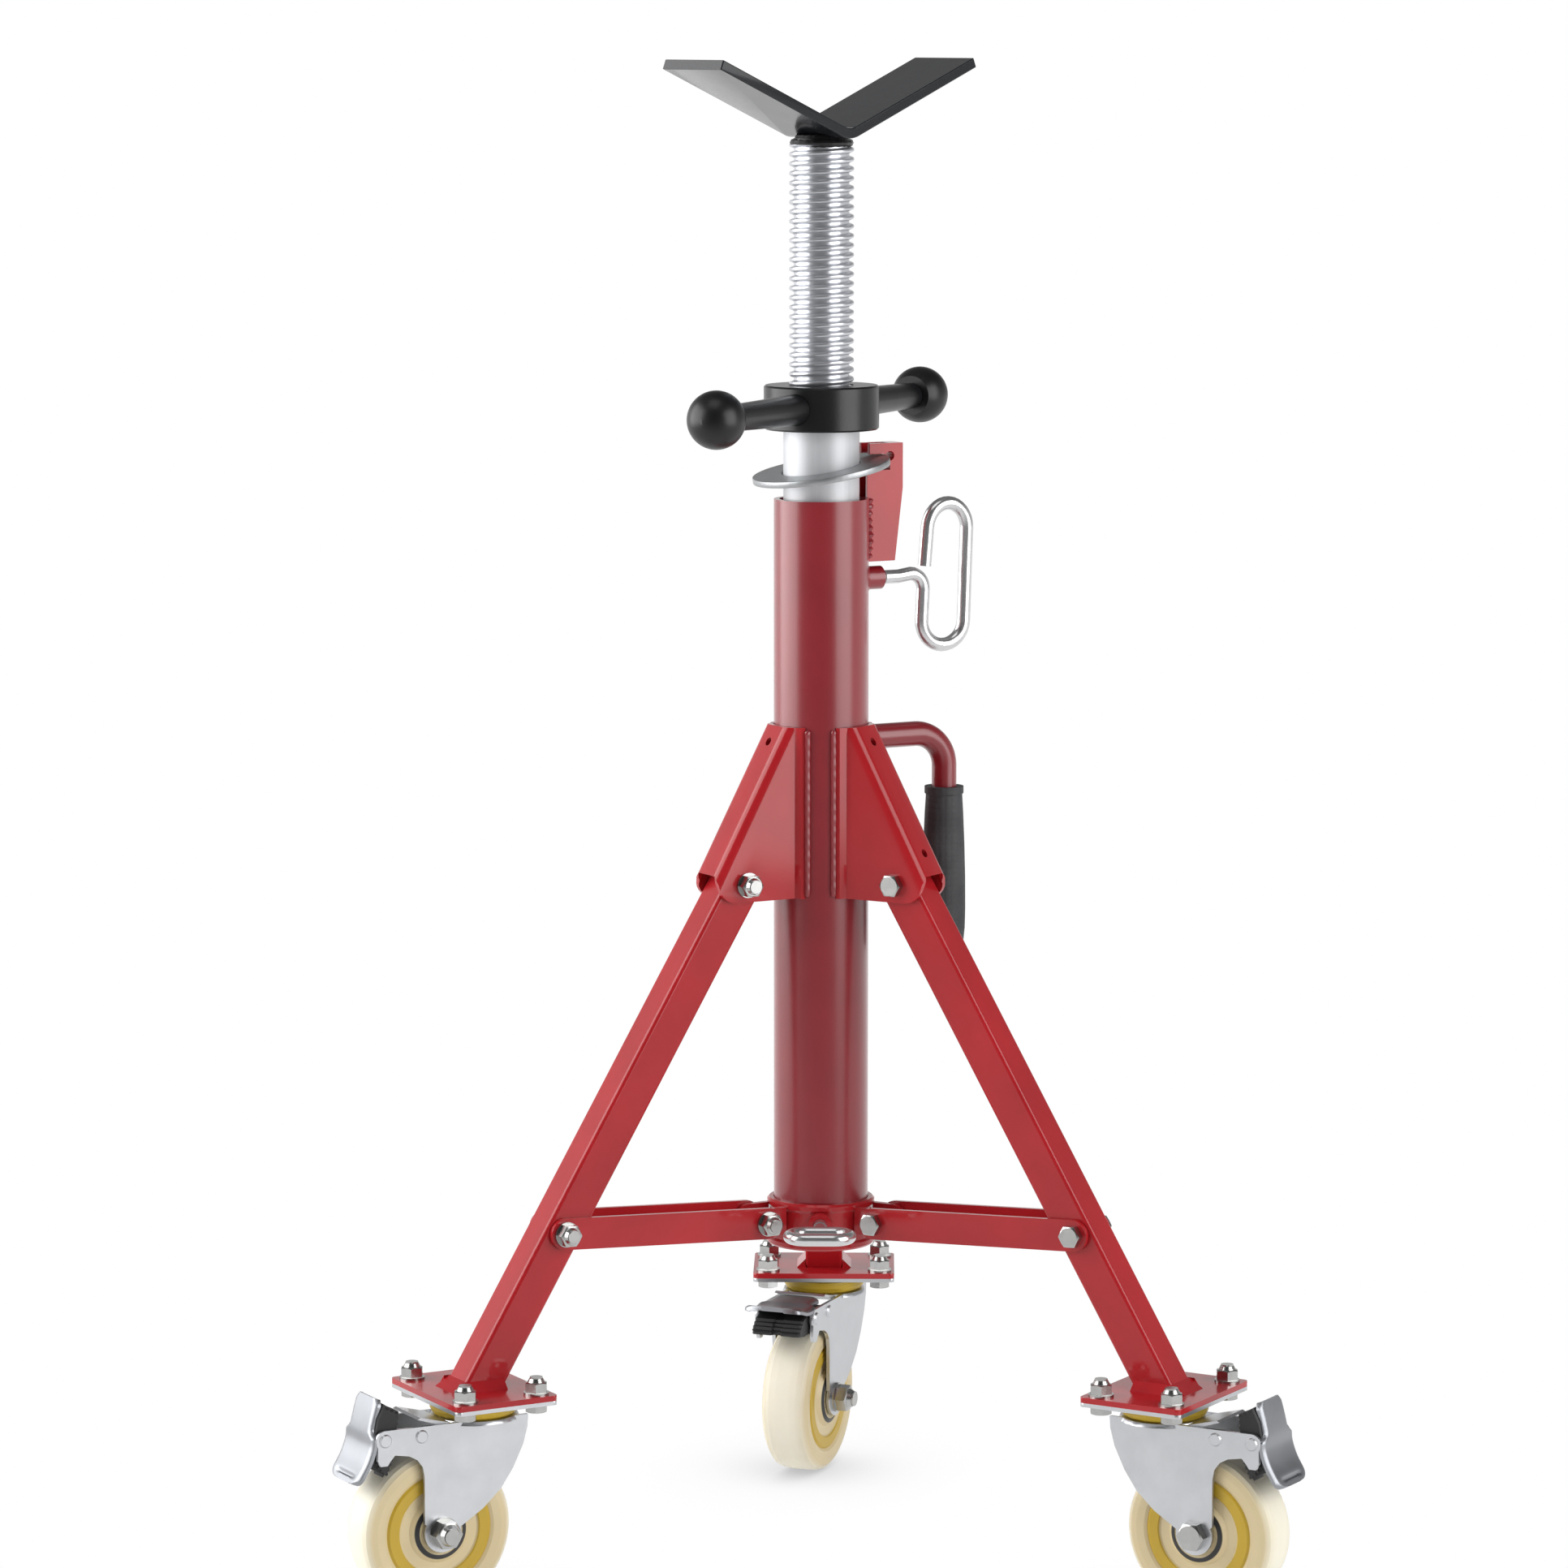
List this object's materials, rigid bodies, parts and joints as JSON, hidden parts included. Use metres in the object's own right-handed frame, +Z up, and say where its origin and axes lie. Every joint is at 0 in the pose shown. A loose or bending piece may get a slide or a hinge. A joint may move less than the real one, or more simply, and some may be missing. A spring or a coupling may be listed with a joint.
{
  "type": "pipe stand",
  "caption": "Folding pipe stand with a V head, hand-turned jack screw, clamped sliding tube, spread legs strutted from a sliding collar, and braked swivel casters.",
  "frame": {"origin": "on the floor under the column's centre line, legs spread", "axes": "+Z up the column; +Y away from the viewer of the picture, along the rear leg; +X to the right"},
  "size_m": [0.6102, 0.472, 0.9586],
  "materials": {
    "column_red": "gloss powder coat",
    "leg_red": "gloss powder coat",
    "bright_tube": "bright zinc plate",
    "thread_steel": "bright zinc plate",
    "galvanised": "matt zinc plate",
    "chrome_rod": "polished",
    "zinc_fastener": "zinc plate",
    "zinc_sheet": "zinc plate",
    "black_metal": "satin",
    "black_knob": "gloss",
    "head_black": "satin",
    "grip_rubber": "matt with fine dots",
    "wheel_nylon": "satin",
    "yellow_plastic": "satin",
    "brake_black": "matt"
  },
  "bodies": {
    "column": {"outer_tube": "column_red", "ring_hook": "leg_red", "clamp_boss": "column_red", "carry_handle": "column_red", "handle_grip": "grip_rubber", "leg_pivot_bolts": "zinc_fastener", "bracket_left": "leg_red", "bracket_right": "leg_red", "bracket_rear": "leg_red"},
    "inner": {"inner_tube": "bright_tube"},
    "screw": {"jack_screw": "thread_steel", "head_stub": "black_metal", "v_head": "head_black"},
    "nut": {"jack_nut": "black_metal", "nut_rods": "black_metal", "nut_knobs": "black_knob"},
    "ring": {"lock_ring": "galvanised"},
    "clamp": {"clamp_screw": "chrome_rod"},
    "collar": {"collar": "leg_red", "collar_lugs": "leg_red", "collar_boss": "leg_red", "collar_bolts": "zinc_fastener"},
    "collar_clamp": {"collar_screw": "chrome_rod"},
    "leg_left": {"leg_left": "leg_red", "foot_plate_left": "leg_red", "leg_fasteners_left": "zinc_fastener", "caster_plate_left": "zinc_sheet"},
    "strut_left": {"strut_left": "leg_red", "strut_bolt_left": "zinc_fastener"},
    "swivel_left": {"fork_left": "zinc_sheet", "swivel_ring_left": "yellow_plastic", "axle_left": "zinc_fastener"},
    "wheel_left": {"wheel_left": "wheel_nylon"},
    "brake_left": {"brake_pedal_left": "zinc_sheet", "brake_shoe_left": "brake_black"},
    "leg_right": {"leg_right": "leg_red", "foot_plate_right": "leg_red", "leg_fasteners_right": "zinc_fastener", "caster_plate_right": "zinc_sheet"},
    "strut_right": {"strut_right": "leg_red", "strut_bolt_right": "zinc_fastener"},
    "swivel_right": {"fork_right": "zinc_sheet", "swivel_ring_right": "yellow_plastic", "axle_right": "zinc_fastener"},
    "wheel_right": {"wheel_right": "wheel_nylon"},
    "brake_right": {"brake_pedal_right": "zinc_sheet", "brake_shoe_right": "brake_black"},
    "leg_rear": {"leg_rear": "leg_red", "foot_plate_rear": "leg_red", "leg_fasteners_rear": "zinc_fastener", "caster_plate_rear": "zinc_sheet"},
    "strut_rear": {"strut_rear": "leg_red", "strut_bolt_rear": "zinc_fastener"},
    "swivel_rear": {"fork_rear": "zinc_sheet", "swivel_ring_rear": "yellow_plastic", "axle_rear": "zinc_fastener"},
    "wheel_rear": {"wheel_rear": "wheel_nylon"},
    "brake_rear": {"brake_pedal_rear": "zinc_sheet", "brake_shoe_rear": "brake_black"}
  },
  "joints": [
    {"name": "tube_slide", "type": "slide", "parent": "column", "child": "inner", "axis": [0, 0, 1], "range_m": [-0.008, 0.3]},
    {"name": "nut_turn", "type": "hinge", "parent": "inner", "child": "nut", "pos_m": [0, 0, 0.74], "axis": [0, 0, 1], "range_deg": [-5700, 8760]},
    {"name": "screw_lift", "type": "slide", "parent": "inner", "child": "screw", "axis": [0, 0, 1], "range_m": [-0.1462, 0.0952]},
    {"name": "ring_tilt", "type": "hinge", "parent": "column", "child": "ring", "pos_m": [0.03757, 0.02169, 0.70704], "axis": [-0.5, 0.866, 0], "range_deg": [0, 9.6]},
    {"name": "clamp_turn", "type": "hinge", "parent": "column", "child": "clamp", "pos_m": [0.06062, 0.035, 0.63], "axis": [0.866, 0.5, 0], "continuous": true},
    {"name": "collar_slide", "type": "slide", "parent": "column", "child": "collar", "axis": [0, 0, 1], "range_m": [0, 0.10557]},
    {"name": "collar_screw_turn", "type": "hinge", "parent": "collar", "child": "collar_clamp", "pos_m": [0, -0.06, 0.2211], "axis": [0, -1, 0], "continuous": true},
    {"name": "leg_left_fold", "type": "hinge", "parent": "column", "child": "leg_left", "pos_m": [-0.05369, -0.031, 0.441], "axis": [0.5, -0.866, 0], "range_deg": [0, 20]},
    {"name": "leg_right_fold", "type": "hinge", "parent": "column", "child": "leg_right", "pos_m": [0.05369, -0.031, 0.441], "axis": [0.5, 0.866, 0], "range_deg": [0, 20.05]},
    {"name": "leg_rear_fold", "type": "hinge", "parent": "column", "child": "leg_rear", "pos_m": [0, 0.062, 0.441], "axis": [-1, 0, 0], "range_deg": [0, 20.05]},
    {"name": "strut_left_swing", "type": "hinge", "parent": "collar", "child": "strut_left", "pos_m": [-0.04105, -0.0237, 0.222], "axis": [0.5, -0.866, 0], "range_deg": [0, 66.76]},
    {"name": "strut_right_swing", "type": "hinge", "parent": "collar", "child": "strut_right", "pos_m": [0.04105, -0.0237, 0.222], "axis": [0.5, 0.866, 0], "range_deg": [0, 66.76]},
    {"name": "strut_rear_swing", "type": "hinge", "parent": "collar", "child": "strut_rear", "pos_m": [0, 0.0474, 0.222], "axis": [-1, 0, 0], "range_deg": [0, 66.76]},
    {"name": "swivel_left_turn", "type": "hinge", "parent": "leg_left", "child": "swivel_left", "pos_m": [-0.21556, -0.12445, 0.122], "axis": [0, 0, 1], "continuous": true},
    {"name": "wheel_left_roll", "type": "hinge", "parent": "swivel_left", "child": "wheel_left", "pos_m": [-0.24327, -0.14045, 0.0508], "axis": [0.5, -0.866, 0], "continuous": true},
    {"name": "brake_left_release", "type": "hinge", "parent": "swivel_left", "child": "brake_left", "pos_m": [-0.27705, -0.15995, 0.11339], "axis": [-0.5, 0.866, 0], "range_deg": [0, 75]},
    {"name": "swivel_right_turn", "type": "hinge", "parent": "leg_right", "child": "swivel_right", "pos_m": [0.21556, -0.12445, 0.122], "axis": [0, 0, 1], "continuous": true},
    {"name": "wheel_right_roll", "type": "hinge", "parent": "swivel_right", "child": "wheel_right", "pos_m": [0.24327, -0.14045, 0.0508], "axis": [0.5, 0.866, 0], "continuous": true},
    {"name": "brake_right_release", "type": "hinge", "parent": "swivel_right", "child": "brake_right", "pos_m": [0.27705, -0.15995, 0.11339], "axis": [-0.5, -0.866, 0], "range_deg": [0, 75]},
    {"name": "swivel_rear_turn", "type": "hinge", "parent": "leg_rear", "child": "swivel_rear", "pos_m": [0, 0.2489, 0.122], "axis": [0, 0, 1], "continuous": true},
    {"name": "wheel_rear_roll", "type": "hinge", "parent": "swivel_rear", "child": "wheel_rear", "pos_m": [-0.01094, 0.21883, 0.0508], "axis": [0.9397, -0.342, 0], "continuous": true},
    {"name": "brake_rear_press", "type": "hinge", "parent": "swivel_rear", "child": "brake_rear", "pos_m": [-0.02428, 0.18219, 0.11339], "axis": [0.9397, -0.342, 0], "range_deg": [0, 75]}
  ],
  "couplings": [
    {"joint": "screw_lift", "follows": "nut_turn", "m_per_rad": -0.00095493},
    {"joint": "leg_right_fold", "follows": "leg_left_fold", "ratio": 1},
    {"joint": "leg_rear_fold", "follows": "leg_left_fold", "ratio": 1},
    {"joint": "collar_slide", "follows": "leg_left_fold", "m_per_rad": 0.30187},
    {"joint": "strut_left_swing", "follows": "leg_left_fold", "ratio": 3.3331},
    {"joint": "strut_right_swing", "follows": "leg_left_fold", "ratio": 3.3331},
    {"joint": "strut_rear_swing", "follows": "leg_left_fold", "ratio": 3.3331}
  ]
}
